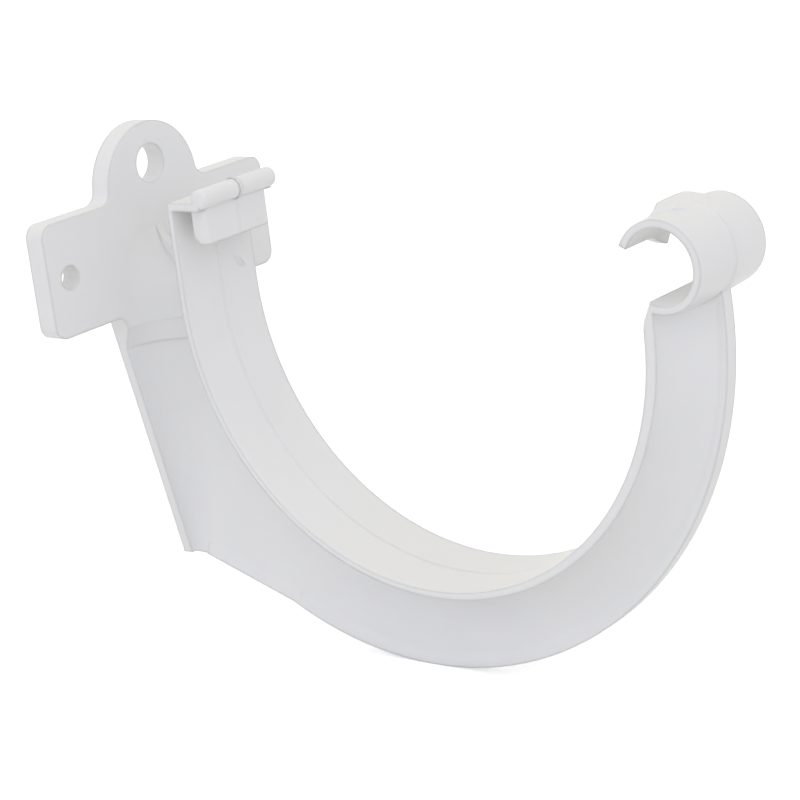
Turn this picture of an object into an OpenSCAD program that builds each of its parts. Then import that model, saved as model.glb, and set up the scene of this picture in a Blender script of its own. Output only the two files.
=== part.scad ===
// Fascia bracket for a half-round rainwater gutter, injection moulded in one piece.
// X = 0 is the face that lies on the fascia board and +X points to the front of the gutter.
// Y = 0 is the middle of the web, and Z = 0 is the line through the two arm screws.

/* [Gutter] */
// Radius of the cradle's inner face
cradle_r = 58; // [45:0.5:75]
// Distance from the fascia to the cradle's centre
cradle_x = 78.5; // [76:0.5:95]
// Height of the cradle's centre over the arm screws
cradle_z = -9.3; // [-12:0.1:-6]
// Width of the cradle strip, across the gutter's run
strip_w = 23.4; // [18:0.2:30]
// Thickness of the strip at the fascia side
strip_rear_t = 1.4; // [1.2:0.1:2.5]
// Thickness of the strip at the front
strip_front_t = 2.4; // [1.4:0.1:3.5]
// Thickness of the strip at the bottom
strip_low_t = 1.5; // [1.2:0.1:2.5]

/* [Web] */
// Thickness of the web
web_t = 2.4; // [1.8:0.1:3.6]
// Depth of the web under the cradle, at its lowest point
web_depth = 20.1; // [16:0.1:26]
// Depth of the web in front of the cradle
web_front_depth = 9.2; // [7:0.2:12]
// Height of the centre of the web's round edge over the cradle's centre
web_rise = 0.7; // [0:0.1:1.5]
// Height of the centre of the slot's round bottom, between the plate and the cradle
slot_z = 6.3; // [4:0.1:8]
// Thickness of the rim along the web's outer edge
rim_t = 3.2; // [2.6:0.1:4.4]
// Width of the rim's full thickness
rim_w = 1.3; // [0.8:0.1:2]
// Width of the flare between the rim and the web
rim_flare = 2; // [1:0.1:3]
// Height of the web's heel at the fascia
heel_z = -70.9; // [-76:0.1:-66]
// Length of the heel's level foot
heel_flat = 6; // [3:0.5:10]
// Fall of the heel's level foot along its length
heel_fall = 0.3; // [0.1:0.1:0.8]
// Distance from the fascia to where the heel's slope meets the web's round edge
heel_end_x = 30; // [26:0.5:34]

/* [Fascia plate] */
// Thickness of the plate
plate_t = 4.8; // [3.6:0.1:6]
// Length of the plate across both arms
arm_span = 70; // [60:0.5:90]
// Height of the arms
arm_h = 24.8; // [20:0.2:30]
// Radius of the arms' corners
arm_corner_r = 3; // [1:0.2:5]
// Radius of the round ear
ear_r = 13.9; // [12:0.1:16]
// Height of the ear's centre
ear_z = 13.6; // [12.6:0.1:16]
// Radius of the fillet between the ear and the arms
ear_fillet_r = 3; // [1:0.2:4]
// Diameter of the ear's screw hole
ear_hole_d = 8.5; // [5:0.1:10]
// Height of the ear's screw hole
ear_hole_z = 18.3; // [16:0.1:20]
// Diameter of the arms' screw holes
arm_hole_d = 5.2; // [4:0.1:6.5]
// Distance between the arms' screw holes
arm_hole_pitch = 57.2; // [48:0.2:62]

/* [Tongue] */
// Thickness of the tongue below the plate
tongue_t = 2.4; // [1.8:0.1:3.4]
// Width of the tongue where it leaves the plate
tongue_top_w = 28.4; // [24:0.2:32]
// Width of the tongue at the heel
tongue_low_w = 5.4; // [4.4:0.2:8]
// Radius of the fillet between the arms and the tongue
tongue_fillet_r = 2.3; // [1:0.1:3]
// Distance that the thick plate reaches below the arms
plate_drop = 2.8; // [2.4:0.1:5]
// Height of the sloping step from the plate to the tongue
step_h = 5; // [3:0.2:8]

/* [Rear hook] */
// Height of the hook's top face
hook_z = 12.6; // [10:0.1:15]
// Thickness of the hook's top
hook_t = 1.8; // [1.2:0.1:2.4]
// Radius of the hook's outer corner
hook_corner_r = 1; // [0.4:0.1:1.4]
// Gap that takes the gutter's rear edge
hook_gap = 3.3; // [2.5:0.1:5]
// Thickness of the lip
lip_t = 4.4; // [2.5:0.1:5]
// Width of the lip, across the gutter's run
lip_w = 20.2; // [14:0.2:23]
// Distance that the lip hangs below the hook's top face
lip_h = 9.2; // [6:0.1:12]
// Size of the lead-in chamfer on the lip
lip_lead = 2; // [1:0.1:2.6]
// Radius of the lip's upright edges
lip_edge_r = 1.2; // [0.4:0.1:1.6]
// Radius of the rod along the hook's edge
rod_r = 2.1; // [1.5:0.1:2.6]
// Height of the rod's centre over the hook's top face
rod_rise = 0.75; // [0.4:0.05:1.2]
// Radius of the rod's end edges
rod_edge_r = 0.6; // [0.3:0.1:1]
// Width of the parting ring round the rod and the clip
ring_w = 1; // [0.6:0.1:1.6]
// Height of the parting ring
ring_rise = 0.25; // [0.1:0.05:0.4]

/* [Front clip] */
// Radius of the clip's bore, which grips the gutter's front bead
clip_bore_r = 7.5; // [6:0.1:9]
// Wall of the clip at its middle ridge
clip_wall = 2.1; // [1.8:0.1:3]
// Wall of the clip at both ends
clip_end_wall = 1.6; // [1.3:0.1:2.6]
// Distance of the clip's centre inside the web's front edge
clip_inset = 7; // [6:0.1:9]
// Height of the clip's centre over the arm screws
clip_z = 4.1; // [3:0.1:6]
// Direction of the upper lip's end, in degrees over the front
clip_top_end = 155; // [140:1:165]
// Direction of the lower lip's end, in degrees over the front
clip_low_end = 245.5; // [240:0.5:250]
// Radius of the lower lip's corners
clip_corner_r = 1.4; // [0.6:0.1:2]
// Height of the finger's tip over the clip's centre
finger_z = 0.6; // [0.2:0.1:1.6]
// Distance of the finger's tip to one side of the web
finger_y = 3.35; // [2:0.05:4]
// Width of the finger's tip
finger_tip_w = 0.7; // [0.5:0.1:2]
// Lean of the finger's long side, in degrees from upright
finger_lean = 66; // [50:1:70]
// Lean of the finger's short side, in degrees from upright
finger_back_lean = 19; // [10:1:30]

/* [Thumb tab] */
// Width of the tab at its free edge
tab_w = 17.2; // [14:0.2:20]
// Width of the tab's raised crest
tab_crest_w = 9.8; // [6:0.2:11.6]
// Width of the tab halfway along
tab_mid_w = 12.4; // [8:0.2:13.6]
// Width of the tab at its root
tab_root_w = 1.6; // [1:0.2:7]
// Length of the tab
tab_l = 7.7; // [6:0.1:9]
// Height of the tab's free edge over the clip's centre
tab_rise = 10.6; // [10.4:0.1:12]
// Height of the bend on the tab's sides over the clip's centre
tab_bend_z = 9.5; // [9:0.1:10.2]
// Width of the tab at that bend
tab_bend_w = 12.2; // [11.8:0.2:13.6]
// Height of the tab's shoulders over the clip's centre
tab_shoulder = 8.4; // [7:0.1:8.8]
// Distance of the tab's free edge behind the clip's centre
tab_reach = 3.5; // [3:0.1:4.5]

/* [Hidden] */
$fn = 96;
fine_fn = 180;

// What cuts or overlaps another shape runs past it by this much
over = 1;
// A cove sinks this far into the face that it runs out on
bite = 0.06;
// The thumb tab's top ends this far inside the tube
tab_sink = 0.15;
// The heel's slope runs this far past its end, into the web's round edge
rim_lap = 1.5;

// Cradle: the strip's outer face is a circle a little larger than its inner one
strip_out_r = cradle_r + (strip_rear_t + strip_front_t) / 2;
strip_out_x = cradle_x + (strip_front_t - strip_rear_t) / 2;
strip_out_z = cradle_z + (strip_rear_t + strip_front_t) / 2 - strip_low_t;
strip_rear_x = strip_out_x - strip_out_r;
strip_front_x = strip_out_x + strip_out_r;
cradle_rear_x = cradle_x - cradle_r;
cove_r = (strip_w - web_t) / 2;

// Web: its outer edge is a circle through the lowest and the foremost point
web_front_x = strip_front_x + web_front_depth;
web_low_z = cradle_z - cradle_r - strip_low_t - web_depth;
web_z = cradle_z + web_rise;
web_r = web_z - web_low_z;
web_x = web_front_x - web_r;
heel_end_z = web_z - sqrt(web_r * web_r - pow(web_x - heel_end_x, 2));
heel_foot = [heel_flat, heel_z - heel_fall];
heel_run = [heel_end_x, heel_end_z] - heel_foot;

// Clip
clip_x = web_front_x - clip_inset;
clip_r = clip_bore_r + clip_wall;
clip_end_r = clip_bore_r + clip_end_wall;

// Slot between the plate and the cradle, over the web
slot_r = (strip_rear_x - plate_t) / 2;
slot_x = plate_t + slot_r;

// Tongue: its sides run from the plate to the heel
arm_low_z = -arm_h / 2;
plate_low_z = arm_low_z - plate_drop;
step_low_z = plate_low_z - step_h;
taper = (tongue_top_w - tongue_low_w) / 2 / (plate_low_z - heel_z);
function tongue_half(z) = tongue_low_w / 2 + taper * (z - heel_z);

// Turns an outline drawn in X and Z into a solid of the given width, centred on the web
module across(width) rotate([90, 0, 0]) linear_extrude(width, center = true) children();

// Turns an outline drawn in Y and Z into a solid that starts at the fascia
module outward(depth) rotate([90, 0, 90]) linear_extrude(depth) children();

module rounded_plate_2d(w, h, r) {
    square([w - 2 * r, h], center = true);
    square([w, h - 2 * r], center = true);
    for (x = [-1, 1], y = [-1, 1]) translate([x * (w / 2 - r), y * (h / 2 - r)]) circle(r);
}

// Inside of the cradle: a half circle with upright sides
module trough_2d() {
    translate([cradle_x, cradle_z]) circle(cradle_r, $fn = fine_fn);
    translate([cradle_rear_x, cradle_z]) square([2 * cradle_r, 2 * cradle_r]);
}

// ---- Fascia plate and tongue ----

module ear_fillets_2d() {
    y = sqrt(pow(ear_r + ear_fillet_r, 2) - pow(arm_h / 2 + ear_fillet_r - ear_z, 2));
    top = ear_z + (arm_h / 2 + ear_fillet_r - ear_z) * ear_r / (ear_r + ear_fillet_r);
    difference() {
        translate([-y, arm_h / 2 - over]) square([2 * y, top - arm_h / 2 + over]);
        for (side = [-1, 1]) translate([side * y, arm_h / 2 + ear_fillet_r]) circle(ear_fillet_r);
    }
}

module tongue_2d(top_z) {
    polygon([
        [-tongue_half(heel_z), heel_z], [tongue_half(heel_z), heel_z],
        [tongue_half(top_z), top_z], [-tongue_half(top_z), top_z]
    ]);
}

module tongue_fillets_2d() {
    z = arm_low_z - tongue_fillet_r;
    lean = atan(taper);
    y = tongue_half(z) + tongue_fillet_r / cos(lean);
    touch = z + tongue_fillet_r * sin(lean);
    difference() {
        translate([-y, touch]) square([2 * y, arm_low_z + over - touch]);
        for (side = [-1, 1]) translate([side * y, z]) circle(tongue_fillet_r);
    }
}

module plate_2d() {
    rounded_plate_2d(arm_span, arm_h, arm_corner_r);
    translate([0, ear_z]) circle(ear_r);
    ear_fillets_2d();
    tongue_fillets_2d();
    intersection() {
        tongue_2d(0);
        translate([-arm_span / 2, plate_low_z]) square([arm_span, arm_h]);
    }
}

module screw_holes() {
    for (hole = [[0, ear_hole_z, ear_hole_d], [-arm_hole_pitch / 2, 0, arm_hole_d], [arm_hole_pitch / 2, 0, arm_hole_d]])
        translate([-over, hole[0], hole[1]]) rotate([0, 90, 0]) cylinder(h = plate_t + 2 * over, d = hole[2]);
}

module plate() {
    difference() {
        outward(plate_t) plate_2d();
        screw_holes();
    }
    outward(tongue_t) tongue_2d(0);
}

// Rib root on a flat back, with a round cove on each side of the web. Its half width grows from low
// to high over the height h. The back's front face is at x = 0, and the cove's cone runs to the edge.
module coved_root(h, low, high) {
    grow = (high - low) / h;
    apex = (low - web_t / 2) / grow;
    lean = asin(grow / sqrt(1 + 2 * grow * grow));
    reach = apex + h + high;
    difference() {
        intersection() {
            translate([-over, 0, 0]) outward(high + over)
                polygon([[-low, 0], [low, 0], [high, h], [-high, h]]);
            across(2 * high)
                polygon([[-over, 0], [low - web_t / 2, 0], [high - web_t / 2, h], [-over, h]]);
        }
        for (side = [0, 1]) mirror([0, side, 0])
            translate([-bite, bite - web_t / 2, -apex]) rotate([0, 0, -45])
                rotate([0, asin(sin(lean) * sqrt(2)), 0]) cylinder(h = reach, r1 = 0, r2 = reach * tan(lean), $fn = fine_fn);
    }
}

// Section of a straight root, drawn from the back's front face at x = 0
module root_2d(half) {
    reach = half - web_t / 2;
    difference() {
        translate([-over, -half]) square([reach + over, 2 * half]);
        for (side = [-1, 1]) translate([reach, side * half]) circle(reach + bite);
    }
}

// Root on the thick plate: straight at first, and then round the web's top end like a trumpet
module plate_root() {
    half = tongue_half(plate_low_z) - bite;
    turn_z = slot_z - half;
    translate([plate_t, 0, plate_low_z]) linear_extrude(turn_z - plate_low_z) root_2d(half);
    translate([plate_t, 0, turn_z]) rotate([0, 90, 0]) rotate_extrude(angle = 180, start = 90)
        intersection() {
            rotate(90) mirror([0, 1]) root_2d(half);
            translate([0, -over]) square(half + over);
        }
}

// Sloping step between the thick plate and the tongue
module step_root() {
    slope = atan2(plate_t - tongue_t, step_h);
    half = tongue_half((plate_low_z + step_low_z) / 2);
    wide = tongue_top_w;
    intersection() {
        translate([tongue_t, 0, step_low_z]) rotate([0, slope, 0]) translate([0, 0, -step_h])
            linear_extrude(2 * step_h + half) {
                root_2d(half);
                translate([-tongue_t, -wide]) square([tongue_t, 2 * wide]);
            }
        outward(wide) tongue_2d(plate_low_z);
        translate([0, -wide, step_low_z]) cube([wide, 2 * wide, step_h]);
    }
}

module tongue_root() {
    translate([tongue_t, 0, heel_z])
        coved_root(step_low_z - heel_z, tongue_half(heel_z), tongue_half(step_low_z));
}

// ---- Web, with its coves and rim ----

module web_2d() {
    difference() {
        union() {
            intersection() {
                translate([web_x, web_z]) circle(web_r, $fn = fine_fn);
                translate([heel_flat, web_low_z - over]) square([web_front_x, clip_z - web_low_z]);
            }
            lapped = heel_foot + heel_run * (1 + rim_lap / norm(heel_run));
            polygon([[0, heel_z], heel_foot, lapped, [lapped[0], slot_z], [0, slot_z]]);
        }
        trough_2d();
    }
}

// Half of a T section: x = 0 is the strip's outer face, and the coves run out on the web
module tee_2d() {
    difference() {
        translate([-over, -strip_w / 2]) square([cove_r + over, strip_w]);
        for (side = [-1, 1]) translate([cove_r, side * strip_w / 2]) circle(cove_r + bite);
    }
}

module strip_coves() {
    translate([strip_out_x, 0, strip_out_z]) rotate([90, 0, 0]) rotate_extrude(angle = 180, start = 180, $fn = fine_fn)
        translate([strip_out_r, 0]) tee_2d();
    translate([strip_front_x, 0, strip_out_z]) linear_extrude(clip_z - strip_out_z) tee_2d();
    translate([strip_rear_x, 0, strip_out_z]) linear_extrude(slot_z - strip_out_z) mirror([1, 0]) tee_2d();
}

module rim_2d() {
    polygon([
        [-rim_w - rim_flare, -web_t / 2], [-rim_w, -rim_t / 2], [0, -rim_t / 2],
        [0, rim_t / 2], [-rim_w, rim_t / 2], [-rim_w - rim_flare, web_t / 2]
    ]);
}

// The round and straight stretches lap over each other where the heel's slope ends
module rim() {
    first = atan2(heel_end_z - web_z, heel_end_x - web_x) - atan(rim_lap / web_r);
    last = atan2(clip_z - clip_bore_r / 2 - web_z, web_front_x - web_x);
    translate([web_x, 0, web_z]) rotate([90, 0, 0])
        rotate_extrude(angle = last - first, start = first, $fn = fine_fn) translate([web_r, 0]) rim_2d();
    translate([heel_foot[0], 0, heel_foot[1]]) rotate([0, 90 + atan2(-heel_run[1], heel_run[0]), 0])
        linear_extrude(norm(heel_run) + rim_lap) rim_2d();
}

module slot_cut() {
    across(strip_w + tongue_top_w) {
        translate([slot_x, slot_z]) circle(slot_r + bite);
        translate([slot_x - slot_r - bite, slot_z]) square([2 * (slot_r + bite), hook_z]);
    }
}

module web() {
    difference() {
        union() {
            across(web_t) web_2d();
            intersection() {
                strip_coves();
                across(strip_w + over) web_2d();
            }
            plate_root();
            step_root();
            tongue_root();
        }
        slot_cut();
    }
    rim();
}

// ---- Cradle strip and rear hook ----

module strip() {
    across(strip_w) difference() {
        union() {
            translate([strip_out_x, strip_out_z]) circle(strip_out_r, $fn = fine_fn);
            translate([strip_rear_x, strip_out_z]) square([strip_out_x - strip_rear_x, hook_z - hook_t - strip_out_z]);
            translate([strip_out_x, strip_out_z]) square([strip_out_r, -strip_out_z]);
        }
        trough_2d();
    }
}

module hook_top_2d() {
    reach = strip_rear_t + hook_gap + lip_t;
    translate([hook_corner_r, -hook_t]) square([reach - hook_corner_r, hook_t]);
    translate([0, -hook_t]) square([hook_corner_r, hook_t - hook_corner_r]);
    translate([hook_corner_r, -hook_corner_r]) circle(hook_corner_r);
}

module lip() {
    intersection() {
        across(lip_w) polygon([
            [0, 0], [0, lip_lead - lip_h], [lip_lead, -lip_h], [lip_t, -lip_h], [lip_t, 0]
        ]);
        translate([lip_t / 2, 0, -lip_h]) linear_extrude(lip_h) rounded_plate_2d(lip_t, lip_w, lip_edge_r);
    }
}

module rod() {
    l = strip_w - 2 * bite;
    rotate([90, 0, 0]) rotate_extrude() {
        intersection() {
            rounded_plate_2d(2 * rod_r, l, rod_edge_r);
            translate([0, -l / 2]) square([rod_r, l]);
        }
        translate([0, -ring_w / 2]) square([rod_r + ring_rise, ring_w]);
    }
}

module rear_hook() {
    translate([strip_rear_x, 0, hook_z]) {
        across(strip_w) hook_top_2d();
        translate([strip_rear_t + hook_gap, 0, 0]) lip();
        translate([strip_rear_t + hook_gap + lip_t, 0, rod_rise]) rod();
    }
}

// ---- Front clip ----

module clip_tube() {
    rotate([90, 0, 0]) rotate_extrude() polygon([
        [clip_bore_r - over, -strip_w / 2], [clip_end_r, -strip_w / 2],
        [clip_r, -ring_w / 2], [clip_r + ring_rise, 0], [clip_r, ring_w / 2],
        [clip_end_r, strip_w / 2], [clip_bore_r - over, strip_w / 2]
    ]);
}

module finger() {
    long_run = (clip_r - finger_z) * tan(finger_lean);
    short_run = (clip_r - finger_z) * tan(finger_back_lean);
    translate([-2 * clip_r, finger_y, 0]) outward(2 * clip_r) polygon([
        [-finger_tip_w / 2, finger_z], [finger_tip_w / 2, finger_z],
        [finger_tip_w / 2 + short_run, clip_r], [-finger_tip_w / 2 - long_run, clip_r]
    ]);
}

// Rounds off both corners of the lower lip
module lip_corners() {
    for (side = [0, 1]) mirror([0, side, 0]) rotate([0, 90 - clip_low_end, 0])
        linear_extrude(2 * clip_r) translate([bite, strip_w / 2 + bite]) mirror([0, 1]) difference() {
            translate([-clip_corner_r, -over]) square(clip_corner_r + over);
            translate([-clip_corner_r, clip_corner_r]) circle(clip_corner_r);
        }
}

// Opens the tube between its two lips and leaves the finger under the upper one
module mouth() {
    reach = 3 * clip_r;
    difference() {
        across(strip_w + 2 * over) polygon([
            [0, 0], reach * [cos(clip_top_end), sin(clip_top_end)], reach * [cos(clip_low_end), sin(clip_low_end)]
        ]);
        finger();
    }
    lip_corners();
}

module clip_bore() rotate([90, 0, 0]) cylinder(h = strip_w + 2 * over, r = clip_bore_r, center = true);

// The tab's top is a round face that runs out along the tube's ridge
module thumb_tab() {
    front_x = tab_l - tab_reach;
    mid_x = front_x - tab_l / 2;
    ahead = [front_x, sqrt(clip_r * clip_r - front_x * front_x)] / clip_r;
    free = [-tab_reach, tab_rise + tab_sink];
    grow = (free * free - clip_r * clip_r) / 2 / (clip_r - free * ahead);
    intersection() {
        across(tab_w) intersection() {
            translate(-grow * ahead - [0, tab_sink]) circle(clip_r + grow, $fn = fine_fn);
            translate([-tab_reach, clip_bore_r / 2]) square([tab_l, tab_rise]);
        }
        linear_extrude(tab_rise + over) polygon([
            [-tab_reach, -tab_w / 2], [mid_x, -tab_mid_w / 2], [front_x, -tab_root_w / 2],
            [front_x, tab_root_w / 2], [mid_x, tab_mid_w / 2], [-tab_reach, tab_w / 2]
        ]);
        translate([-tab_reach, 0, 0]) outward(tab_l) for (side = [0, 1]) mirror([side, 0]) polygon([
            [-over, 0], [tab_w / 2, 0], [tab_w / 2, tab_shoulder], [tab_bend_w / 2, tab_bend_z],
            [tab_crest_w / 2, tab_rise - tab_sink], [0, tab_rise + tab_sink], [-over, tab_rise + tab_sink]
        ]);
    }
}

module bracket() {
    color("white") difference() {
        union() {
            plate();
            web();
            strip();
            rear_hook();
            translate([clip_x, 0, clip_z]) {
                clip_tube();
                thumb_tab();
            }
        }
        translate([clip_x, 0, clip_z]) {
            clip_bore();
            mouth();
        }
    }
}

bracket();
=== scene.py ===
# %% [markdown]
# # A white gutter bracket
#
# This lesson dresses one moulded part: the bracket that is screwed to a fascia board and
# cradles a half-round rain gutter. The whole bracket is one shot of white PVC, so there is
# nothing to assemble. What makes it look real is its surface: satin plastic that has flowed
# into a steel mould, with the marks that a mould leaves.
#
# Its place never changes here. Blender works in metres, so a length in millimetres is
# written as a number times `MM`.

import math

import bpy
from mathutils import Matrix, Vector


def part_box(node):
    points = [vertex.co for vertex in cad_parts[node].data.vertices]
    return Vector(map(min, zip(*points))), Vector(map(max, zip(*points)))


MM = 0.001

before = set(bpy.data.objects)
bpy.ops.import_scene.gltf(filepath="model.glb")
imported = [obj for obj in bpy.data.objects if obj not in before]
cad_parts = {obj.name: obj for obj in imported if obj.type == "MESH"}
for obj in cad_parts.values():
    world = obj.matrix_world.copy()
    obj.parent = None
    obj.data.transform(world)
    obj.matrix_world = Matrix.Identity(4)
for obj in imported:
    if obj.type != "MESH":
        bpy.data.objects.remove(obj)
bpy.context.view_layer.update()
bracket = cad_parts["bracket"]
low, high = (Vector(corner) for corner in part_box("bracket"))
middle = (low + high) / 2
bpy.ops.object.select_all(action="DESELECT")
print("bracket from", [round(v, 4) for v in low], "to", [round(v, 4) for v in high])

# %% [markdown]
# ## The camera
#
# A small part looks true when the camera stands far away with a long lens, so that upright
# lines stay nearly parallel. A camera is a place, a direction and a roll. The direction is
# given here as two angles that are easy to think about: how far round the object the camera
# stands, and how high it looks from.

# %% Place the camera
FILM = 36  # millimetres, as the lens is
LENS = 119.33
CAMERA_PLACE = Vector((0.405368, -0.406748, 0.118638))
CAMERA_AROUND, CAMERA_ABOVE, CAMERA_ROLL = 39.815, 15.748, -7.258


def aim(place, around, above, roll):
    """World matrix of a camera that looks down -Z, from angles in degrees."""
    a, e, r = (math.radians(v) for v in (around, above, roll))
    ahead = Vector((-math.sin(a) * math.cos(e), math.cos(a) * math.cos(e), -math.sin(e)))
    side = Vector((math.cos(a), math.sin(a), 0))
    up = side.cross(ahead)
    right = side * math.cos(r) + up * math.sin(r)
    up = right.cross(ahead)
    turn = Matrix((right, up, -ahead)).transposed().to_4x4()
    return Matrix.Translation(place) @ turn


lens = bpy.data.cameras.new("long_lens")
lens.sensor_width = FILM
lens.lens = LENS
lens.clip_start = 10 * MM
camera = bpy.data.objects.new("camera", lens)
camera.matrix_world = aim(CAMERA_PLACE, CAMERA_AROUND, CAMERA_ABOVE, CAMERA_ROLL)
bpy.context.collection.objects.link(camera)
bpy.context.scene.camera = camera
print("camera", round((camera.location - middle).length, 3), "m from the middle")

# %% [markdown]
# ## White PVC
#
# Rigid PVC for gutters is full of white pigment. Light enters it only a fraction of a
# millimetre, so a little subsurface scattering softens the shading but never makes it look
# like wax. The gloss is satin, and it varies a little from place to place, as the polish of
# a mould does.
#
# The bracket keeps its CAD shape, and everything finer than that is done by the material:
# soft edges, the parting line, fine scratches, tiny pits. That keeps the mesh light, and each
# mark can be changed by one number.
#
# A material is a tree of nodes. The class below is a short way to write one: `add` makes a
# node, `join` draws a wire, and `work_out` does one sum on wires or plain numbers.

# %% A node helper
class Nodes:
    """The node tree of a material or a world, emptied and ready to be filled."""

    def __init__(self, owner):
        owner.use_nodes = True
        self.tree = owner.node_tree
        self.tree.nodes.clear()

    def add(self, kind, **settings):
        """A new node. A setting called in_NAME or in_NUMBER is the value of that input."""
        node = self.tree.nodes.new("ShaderNode" + kind)
        for name, value in settings.items():
            if name.startswith("in_"):
                socket = name[3:].replace("_", " ")
                node.inputs[int(socket) if socket.isdigit() else socket].default_value = value
            else:
                setattr(node, name, value)
        return node

    def join(self, source, socket):
        self.tree.links.new(source, socket)

    def work_out(self, operation, *values):
        """One sum on sockets or plain numbers."""
        node = self.add("Math", operation=operation)
        for socket, value in zip(node.inputs, values):
            if isinstance(value, (int, float)):
                socket.default_value = value
            else:
                self.join(value, socket)
        return node.outputs[0]

    def in_turn(self, operation, first, *others):
        """The same sum again for each further value."""
        for other in others:
            first = self.work_out(operation, first, other)
        return first

    def add_up(self, *values):
        return self.in_turn("ADD", *values)

    def multiply(self, *values):
        return self.in_turn("MULTIPLY", *values)

    def distance(self, a, b):
        """Distance that belongs to two lengths at right angles."""
        return self.work_out("SQRT", self.add_up(self.multiply(a, a), self.multiply(b, b)))

    def remap(self, value, start, end, first, last, **settings):
        """Turns start into first and end into last, and holds the result between them."""
        node = self.add("MapRange", in_1=start, in_2=end, in_3=first, in_4=last, **settings)
        self.join(value, node.inputs[0])
        return node.outputs[0]

    def band(self, value, inside, outside):
        """1 where the value is at inside, 0 where it is at outside, and soft between."""
        return self.remap(value, inside, outside, 1, 0, interpolation_type="SMOOTHSTEP")

    def noise(self, where, scale, detail=2.0, rough=0.5):
        """Noise of the given number of waves per metre, from about 0 to 1."""
        node = self.add("TexNoise", in_Scale=scale, in_Detail=detail, in_Roughness=rough)
        self.join(where, node.inputs["Vector"])
        return node.outputs["Fac"]


# %% [markdown]
# ## A ruler that follows the cradle
#
# Scratches and flow marks run round the cradle, not along the X axis. So the material first
# works out where a point lies on the half circle: how far it is from the cradle's centre line
# and how far round it is. Above the centre the walls go straight up, and there the height is
# held at the centre's, so that the ruler runs up the walls as well.

# %% The ruler
CRADLE_X, CRADLE_Z, CRADLE_R = 78.5 * MM, -9.3 * MM, 58 * MM


def cradle_ruler(n):
    """Sockets: place, x, y, z, distance from the cradle's centre line, length along its face."""
    place = n.add("TexCoord").outputs["Object"]
    axes = n.add("SeparateXYZ")
    n.join(place, axes.inputs[0])
    x, y, z = axes.outputs
    out = n.work_out("SUBTRACT", x, CRADLE_X)
    up = n.work_out("SUBTRACT", z, CRADLE_Z)
    down = n.work_out("MINIMUM", up, 0)
    turn = n.work_out("ARCTAN2", out, n.multiply(down, -1))
    along = n.add_up(n.multiply(turn, CRADLE_R), n.work_out("MAXIMUM", up, 0))
    return place, x, y, z, n.distance(out, down), along


# %% [markdown]
# ## The marks of the mould
#
# Each mark is a height in millimetres, and the heights are added up before one Bump node turns
# them into shading. From large to small they are:
#
# - the gate on the cradle's rear wall, where the plastic flowed in and was cut off
# - slow waves of a tenth of a millimetre, where thick and thin places shrank differently
# - the parting line in the middle of the cradle's inner face, where the two mould halves meet
# - a few pits, no wider than half a millimetre
# - fine rub marks round the cradle, from pulling the part out of the mould
# - the satin grain of the steel

# %% Rub marks round the cradle
RUBS_ALONG, RUBS_ACROSS, RUBS_DEEP = 18, 900, 300  # waves per metre
RUB_FADE = (0.56, 0.72)  # noise values at which a rub mark begins and is whole


def rub_marks(n, y, far, along):
    """Long thin lines that follow the cradle."""
    flat = n.add("CombineXYZ")
    n.join(n.multiply(along, RUBS_ALONG), flat.inputs[0])
    n.join(n.multiply(y, RUBS_ACROSS), flat.inputs[1])
    n.join(n.multiply(far, RUBS_DEEP), flat.inputs[2])
    return n.remap(n.noise(flat.outputs[0], 1.0, detail=3.0, rough=0.6), *RUB_FADE, 0, 1)


# %% Parting line
GROOVE_Y, GROOVE_DEPTH = 0.8 * MM, 0.6  # the depth is a share of the ridge's height


def parting_line(n, y, face):
    """A low ridge with a thin groove beside it, on the cradle's face only."""
    ridge = n.band(n.work_out("ABSOLUTE", y), 0.1 * MM, 0.45 * MM)
    aside = n.work_out("ABSOLUTE", n.work_out("SUBTRACT", y, GROOVE_Y))
    groove = n.band(aside, 0.05 * MM, 0.3 * MM)
    return n.multiply(n.work_out("SUBTRACT", ridge, n.multiply(groove, GROOVE_DEPTH)), face)


# %% The gate
GATE_Y, GATE_Z = 7.0 * MM, -4.8 * MM
GATE_SLANT = 0.7  # fall of the mark for each millimetre aside
GATE_SQUASH = 0.3  # under 1 makes the mark longer along its slant
WALL_MARGIN = 0.5 * MM  # how far in front of the wall's face the mark ends


def gate_mark(n, where, x, y, z):
    """A rough spot on the cradle's rear wall. It also falls on the plate behind that wall."""
    aside, up = n.work_out("SUBTRACT", y, GATE_Y), n.work_out("SUBTRACT", z, GATE_Z)
    slant = n.add_up(up, n.multiply(aside, GATE_SLANT))
    squares = n.add_up(n.multiply(aside, aside, GATE_SQUASH), n.multiply(slant, slant))
    spot = n.band(n.work_out("SQRT", squares), 0.2 * MM, 1.3 * MM)
    on_wall = n.work_out("LESS_THAN", x, CRADLE_X - CRADLE_R + WALL_MARGIN)
    return n.multiply(spot, on_wall, n.noise(where, 1500, detail=1.0))


# %% Pits
def pits(n, where, per_metre, share, width):
    """Round pits in a random share of the cells of a Voronoi pattern."""
    cells = n.add("TexVoronoi", in_Scale=per_metre)
    n.join(where, cells.inputs["Vector"])
    pick = n.add("SeparateColor")
    n.join(cells.outputs["Color"], pick.inputs[0])
    chosen = n.work_out("LESS_THAN", pick.outputs[0], share)
    size = n.multiply(n.add_up(pick.outputs[1], 0.4), width * per_metre)
    slope = n.work_out("DIVIDE", cells.outputs["Distance"], size)
    depth = n.work_out("MAXIMUM", n.work_out("SUBTRACT", 1, slope), 0)
    return n.multiply(depth, chosen)


# %% [markdown]
# ## Soft edges
#
# No moulded edge is perfectly sharp. The Bevel node bends the shading near an edge as if it
# were rounded, while the outline of the mesh stays as it is.
#
# There is one place where that does harm. The thumb tab runs out on the clip in a step of only
# a tenth or two of a millimetre, far lower than the bevel is wide, and the bevel would draw a
# dark sliver there. So the mesh's own normal is kept near the top of the tube.

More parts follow.
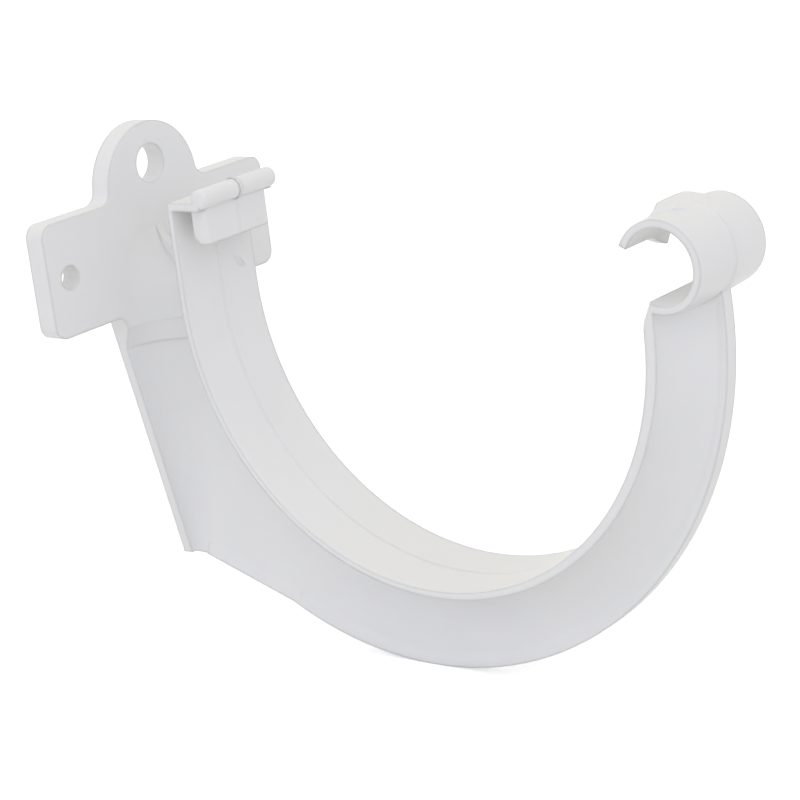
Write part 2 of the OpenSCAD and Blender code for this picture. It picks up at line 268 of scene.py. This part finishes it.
# %% The fold between the thumb tab and the clip
EDGE_R = 1.0 * MM
CLIP_X, CLIP_Z, CLIP_R = 141.1 * MM, 4.1 * MM, 9.6 * MM


def crisp_fold(n, x, y, z, soft):
    """The soft normal, but the mesh's own where the tab meets the tube."""
    out, up = n.work_out("SUBTRACT", x, CLIP_X), n.work_out("SUBTRACT", z, CLIP_Z)
    near_tube = n.band(n.distance(out, up), CLIP_R + 0.3 * MM, CLIP_R + 0.9 * MM)
    on_top = n.band(up, 8.0 * MM, 7.0 * MM)
    beside = n.band(n.work_out("ABSOLUTE", y), 8.5 * MM, 9.5 * MM)
    mix = n.add("Mix", data_type="VECTOR")
    n.join(n.multiply(near_tube, on_top, beside), mix.inputs[0])
    n.join(soft, mix.inputs[4])
    n.join(n.add("NewGeometry").outputs["Normal"], mix.inputs[5])
    return mix.outputs[1]


# %% The plastic
COOL_WHITE, WARM_WHITE = (0.845, 0.848, 0.85, 1), (0.9, 0.898, 0.89, 1)
SMOOTHEST, GLOSS_RANGE, RUB_DULLNESS = 0.3, 0.16, 0.08  # roughness
LIGHT_DEPTH = 1.0 * MM  # how deep light enters
RUBS_OUTSIDE = 0.2  # strength of the rub marks away from the inner face, where it is 1
GATE, WAVE, SEAM, PIT, RUB, GRAIN = 0.55, 0.16, 0.09, -0.05, -0.006, 0.004  # millimetres


def white_pvc():
    material = bpy.data.materials.new("white_pvc")
    n = Nodes(material)
    where, x, y, z, far, along = cradle_ruler(n)
    inner = n.band(far, CRADLE_R + 0.2 * MM, CRADLE_R + 0.5 * MM)
    strength = n.add_up(n.multiply(inner, 1 - RUBS_OUTSIDE), RUBS_OUTSIDE)
    rubbed = n.multiply(rub_marks(n, y, far, along), strength)

    height = n.multiply(n.noise(where, 60, detail=1.0), WAVE * MM)
    marks = [
        (n.noise(where, 2600, rough=0.6), GRAIN),
        (rubbed, RUB),
        (parting_line(n, y, inner), SEAM),
        (pits(n, where, per_metre=240, share=0.16, width=0.16 * MM), PIT),
        (gate_mark(n, where, x, y, z), GATE)]
    for mark, size in marks:
        height = n.add_up(height, n.multiply(mark, size * MM))

    edges = n.add("Bevel", samples=8, in_Radius=EDGE_R)
    bump = n.add("Bump", in_Distance=1.0)
    n.join(height, bump.inputs["Height"])
    n.join(crisp_fold(n, x, y, z, edges.outputs[0]), bump.inputs["Normal"])

    tone = n.add("Mix", data_type="RGBA", in_6=COOL_WHITE, in_7=WARM_WHITE)
    n.join(n.noise(where, 35, detail=3.0), tone.inputs[0])
    gloss = n.add_up(n.multiply(n.noise(where, 90, detail=4.0), GLOSS_RANGE), SMOOTHEST)
    gloss = n.add_up(gloss, n.multiply(rubbed, RUB_DULLNESS))

    shader = n.add("BsdfPrincipled", in_IOR=1.53, in_Subsurface_Weight=0.12,
                   in_Subsurface_Scale=LIGHT_DEPTH, in_Subsurface_Radius=(1, 0.85, 0.7))
    n.join(tone.outputs[2], shader.inputs["Base Color"])
    n.join(gloss, shader.inputs["Roughness"])
    n.join(bump.outputs[0], shader.inputs["Normal"])
    n.join(shader.outputs["BSDF"], n.add("OutputMaterial").inputs["Surface"])
    return material


pvc = white_pvc()
for slot in bracket.material_slots:
    slot.material = pvc
print("plastic on", len(bracket.material_slots), "slot of", bracket.name,
      "with", len(pvc.node_tree.nodes), "nodes")

# %% [markdown]
# ## A white studio
#
# The bracket is white and so is its background, so the light has to do the drawing. A white
# part is usually stood in a tent of white cloth. Such a tent is one soft light all round, and
# brighter on some sides than on others. That is built here from the world alone: an even
# light, and for some directions a light that grows towards them. The ones towards +X (the
# front) and -Y (the near side) are strong and a shade cool, the one from above is a shade
# warm, and the ones from the back and the far side are weak.
#
# What the camera sees past the object is plain white, and so is what a mirror would see.

# %% The studio's light
AMBIENT = (0.24, 0.24, 0.24)
LOBES = [
    ((1, 0, 0), (0.40, 0.42, 0.53)),
    ((0, -1, 0), (0.51, 0.535, 0.66)),
    ((0, 0, 1), (0.56, 0.53, 0.42)),
    ((-1, 0, 0), (0.15, 0.15, 0.15)),
    ((0, 1, 0), (0.1, 0.1, 0.1))]


def seen_ray(n):
    """1 for what the camera sees, also in a gloss or through clear material, and 0 elsewhere."""
    ray = n.add("LightPath").outputs
    mirrored = n.work_out("MAXIMUM", ray["Is Glossy Ray"], ray["Is Transmission Ray"])
    return n.work_out("MAXIMUM", ray["Is Camera Ray"], mirrored)


def white_studio(ambient, lobes):
    """Even light all round, and for each direction a light that grows towards it."""
    world = bpy.data.worlds.new("studio")
    bpy.context.scene.world = world
    n = Nodes(world)
    where = n.add("TexCoord").outputs["Generated"]
    light = None
    for direction, colour in lobes:
        facing = n.add("VectorMath", operation="DOT_PRODUCT", in_1=direction)
        n.join(where, facing.inputs[0])
        lobe = n.add("VectorMath", operation="MULTIPLY_ADD", in_0=colour, in_2=ambient)
        n.join(n.work_out("MAXIMUM", facing.outputs["Value"], 0), lobe.inputs[1])
        if light:
            n.join(light, lobe.inputs[2])
        light = lobe.outputs[0]
    soft = n.add("Background")
    n.join(light, soft.inputs["Color"])
    shown = n.add("Background", in_Color=(1, 1, 1, 1))
    pick = n.add("MixShader")
    n.join(seen_ray(n), pick.inputs["Fac"])
    n.join(soft.outputs[0], pick.inputs[1])
    n.join(shown.outputs[0], pick.inputs[2])
    n.join(pick.outputs[0], n.add("OutputWorld").inputs["Surface"])
    return world


studio = white_studio(AMBIENT, LOBES)
print("world:", len(studio.node_tree.nodes), "nodes")

# %% [markdown]
# ## The floor
#
# The floor is white paper. It takes the bracket's shadow as any matte sheet does, and a glow
# that only the camera and the gloss can see lifts it to the white of the background.

# %% Lay the floor
FLOOR_SIZE = 6
PAPER = (0.8, 0.8, 0.8, 1)
PAPER_GLOW = 0.5


def paper():
    material = bpy.data.materials.new("floor_paper")
    n = Nodes(material)
    matte = n.add("BsdfDiffuse", in_Color=PAPER)
    glow = n.add("Emission")
    n.join(n.multiply(seen_ray(n), PAPER_GLOW), glow.inputs["Strength"])
    both = n.add("AddShader")
    n.join(matte.outputs[0], both.inputs[0])
    n.join(glow.outputs[0], both.inputs[1])
    n.join(both.outputs[0], n.add("OutputMaterial").inputs["Surface"])
    return material


bpy.ops.mesh.primitive_plane_add(size=FLOOR_SIZE, location=(middle.x, 0, low.z))
floor = bpy.context.object
floor.name = "floor"
floor.data.materials.append(paper())
print("floor at", round(low.z, 4))

# %% Colour as written
bpy.context.scene.view_settings.view_transform = "Standard"
